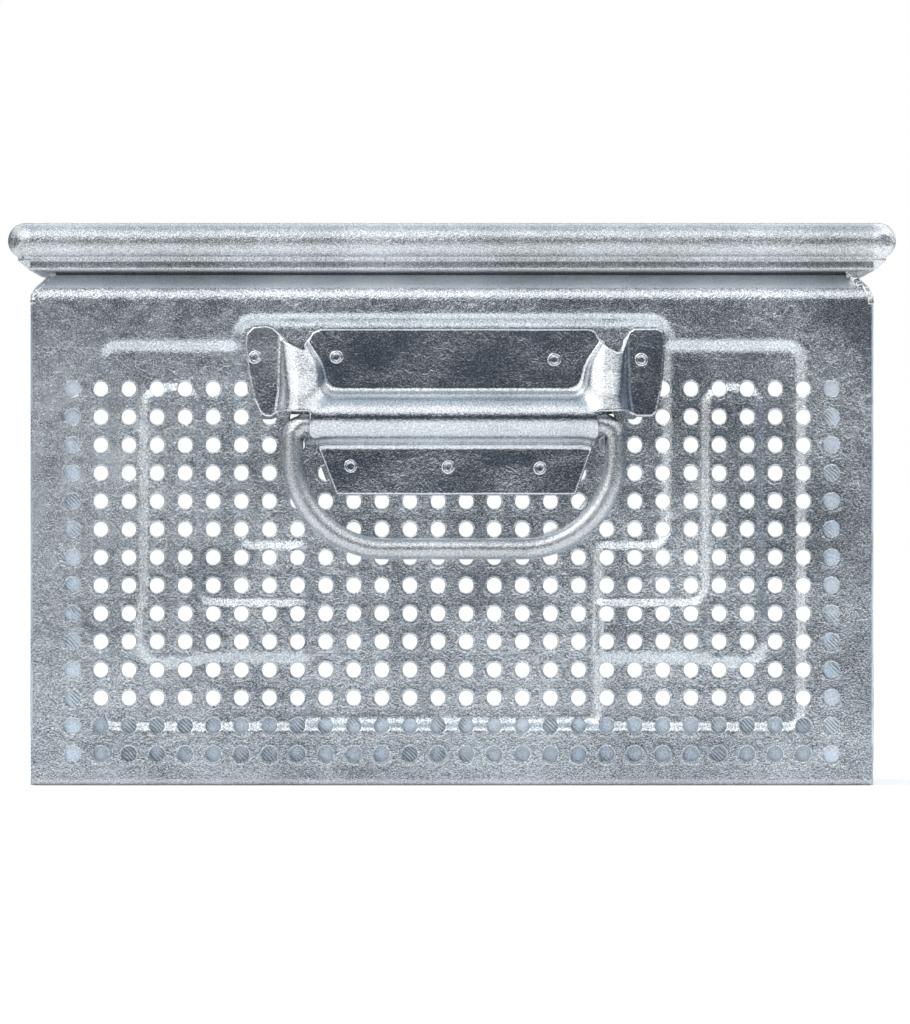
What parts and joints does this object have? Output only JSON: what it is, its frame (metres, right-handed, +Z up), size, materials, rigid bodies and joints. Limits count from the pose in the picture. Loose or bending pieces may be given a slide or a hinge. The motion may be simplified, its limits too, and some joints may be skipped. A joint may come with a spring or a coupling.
{
  "type": "perforated stacking box with drop handles",
  "caption": "Rectangular perforated galvanised steel stacking box with pressed end panels, a rolled stacking rim and a drop handle that swings out from a pressed plate at each end.",
  "frame": {"origin": "centre of the footprint on the plane that the box stands on", "axes": "+Z up, -Y out of the front end wall with the pictured handle, +X to the right as the front end wall is seen"},
  "size_m": [0.316, 0.4164, 0.2],
  "materials": {
    "galvanised_sheet": "hot-dip galvanised sheet, fine spangle",
    "galvanised_rim": "hot-dip galvanised rolled edge",
    "galvanised_plate": "galvanised pressing, smoother and darker than the walls",
    "galvanised_rod": "galvanised round rod",
    "weld_metal": "rough weld metal under zinc"
  },
  "bodies": {
    "box": {"floor_pan": "galvanised_sheet", "front_wall": "galvanised_sheet", "rear_wall": "galvanised_sheet", "left_wall": "galvanised_sheet", "right_wall": "galvanised_sheet", "front_rim": "galvanised_rim", "rear_rim": "galvanised_rim", "left_rim": "galvanised_rim", "right_rim": "galvanised_rim", "rim_corner_front_left": "galvanised_rim", "rim_corner_front_right": "galvanised_rim", "rim_corner_rear_left": "galvanised_rim", "rim_corner_rear_right": "galvanised_rim", "corner_welds": "weld_metal", "front_handle_plate": "galvanised_plate", "rear_handle_plate": "galvanised_plate", "front_plate_welds": "weld_metal", "rear_plate_welds": "weld_metal"},
    "front_bail": {"front_handle": "galvanised_rod"},
    "rear_bail": {"rear_handle": "galvanised_rod"}
  },
  "joints": [
    {"name": "front_handle_swing", "type": "hinge", "parent": "box", "child": "front_bail", "pos_m": [0.0007, -0.2014, 0.1284], "axis": [-1, 0, 0], "range_deg": [0, 95]},
    {"name": "rear_handle_swing", "type": "hinge", "parent": "box", "child": "rear_bail", "pos_m": [-0.0007, 0.2014, 0.1284], "axis": [1, 0, 0], "range_deg": [0, 95]}
  ]
}
